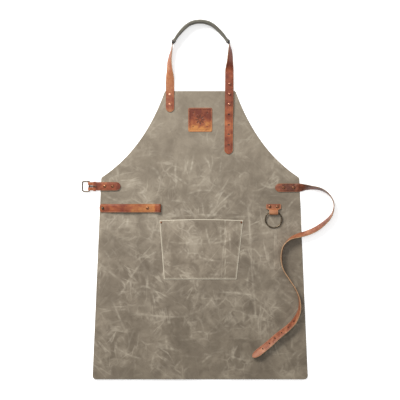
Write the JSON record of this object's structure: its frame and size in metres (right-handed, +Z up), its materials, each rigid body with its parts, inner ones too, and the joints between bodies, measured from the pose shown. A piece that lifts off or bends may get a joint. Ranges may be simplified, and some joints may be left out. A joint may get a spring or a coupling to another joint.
{
  "type": "butcher apron",
  "caption": "Flat-laid leather apron with a bib, a pocket, riveted straps, a padded neck loop, a side buckle, a towel strap and a ring.",
  "frame": {"origin": "on the panel's back face, on its centre line, half-way between hem and top edge", "axes": "+X to the ring side, +Y from the hem to the bib and neck loop, +Z up out of the panel's front face"},
  "size_m": [0.7453, 1.0592, 0.0343],
  "materials": {
    "panel_leather": "waxed pull-up, pale creases",
    "strap_leather": "satin bridle leather with burnished edges",
    "pad_leather": "soft matt",
    "foam": "open foam",
    "antique_metal": "antique, dark",
    "pad_rivet_metal": "blackened",
    "copper": "worn copper"
  },
  "bodies": {
    "apron": {"buckle_rivet_1_cap": "copper", "buckle_rivet_1_post": "copper", "buckle_rivet_2_cap": "copper", "buckle_rivet_2_post": "copper", "buckle_tab": "strap_leather", "neck_anchor_tab": "strap_leather", "neck_left_anchor": "strap_leather", "neck_left_rivet_1_cap": "copper", "neck_left_rivet_1_post": "copper", "neck_left_rivet_2_cap": "copper", "neck_left_rivet_2_post": "copper", "neck_right_tail": "strap_leather", "neck_stud_1": "antique_metal", "neck_stud_1_screw": "antique_metal", "neck_stud_2": "antique_metal", "neck_stud_2_screw": "antique_metal", "neck_stud_3": "antique_metal", "neck_stud_3_screw": "antique_metal", "panel": "panel_leather", "patch": "strap_leather", "pocket": "panel_leather", "pocket_rivet_left_cap": "copper", "pocket_rivet_left_post": "copper", "pocket_rivet_right_cap": "copper", "pocket_rivet_right_post": "copper", "ring_rivet_1_cap": "copper", "ring_rivet_1_post": "copper", "ring_rivet_2_cap": "copper", "ring_rivet_2_post": "copper", "ring_tab": "strap_leather", "towel_eye": "strap_leather", "towel_rivet_cap": "copper", "towel_rivet_post": "copper", "towel_stud": "antique_metal", "towel_stud_screw": "antique_metal", "waist_anchor": "strap_leather", "waist_rivet_1_cap": "copper", "waist_rivet_1_post": "copper", "waist_rivet_2_cap": "copper", "waist_rivet_2_post": "copper"},
    "neck_loop": {"neck_left_strap": "strap_leather", "neck_right_strap": "strap_leather", "neck_pad_cover": "pad_leather", "neck_pad_core": "foam", "pad_rivet_left_cap": "pad_rivet_metal", "pad_rivet_left_post": "pad_rivet_metal", "pad_rivet_right_cap": "pad_rivet_metal", "pad_rivet_right_post": "pad_rivet_metal"},
    "waist_strap": {"waist_strap": "strap_leather"},
    "buckle_frame": {"buckle_frame": "antique_metal"},
    "buckle_prong": {"buckle_prong": "antique_metal"},
    "keeper": {"keeper": "strap_leather"},
    "towel_flap": {"towel_flap": "strap_leather"},
    "ring": {"ring": "antique_metal"}
  },
  "joints": [
    {"name": "neck_loop_lift", "type": "hinge", "parent": "apron", "child": "neck_loop", "pos_m": [0, 0.466, 0.0078], "axis": [1, 0, 0], "range_deg": [0, 120]},
    {"name": "waist_strap_turn", "type": "hinge", "parent": "apron", "child": "waist_strap", "pos_m": [0.297, 0.1403, 0.0081], "axis": [-1, 0, 0], "range_deg": [0, 90]},
    {"name": "buckle_frame_turn", "type": "hinge", "parent": "apron", "child": "buckle_frame", "pos_m": [-0.3265, 0.144, 0.00465], "axis": [0, 1, 0], "range_deg": [0, 120]},
    {"name": "buckle_prong_turn", "type": "hinge", "parent": "apron", "child": "buckle_prong", "pos_m": [-0.3265, 0.144, 0.00465], "axis": [0, -1, 0], "range_deg": [0, 158]},
    {"name": "keeper_slide", "type": "slide", "parent": "apron", "child": "keeper", "axis": [1, 0, 0], "range_m": [0, 0.012]},
    {"name": "towel_flap_open", "type": "hinge", "parent": "apron", "child": "towel_flap", "pos_m": [-0.164, 0.0796, 0.0065], "axis": [0, 1, 0], "range_deg": [0, 130]},
    {"name": "ring_swing", "type": "hinge", "parent": "apron", "child": "ring", "pos_m": [0.2162, 0.068, 0.0078], "axis": [-1, 0, 0], "range_deg": [0, 150]}
  ]
}
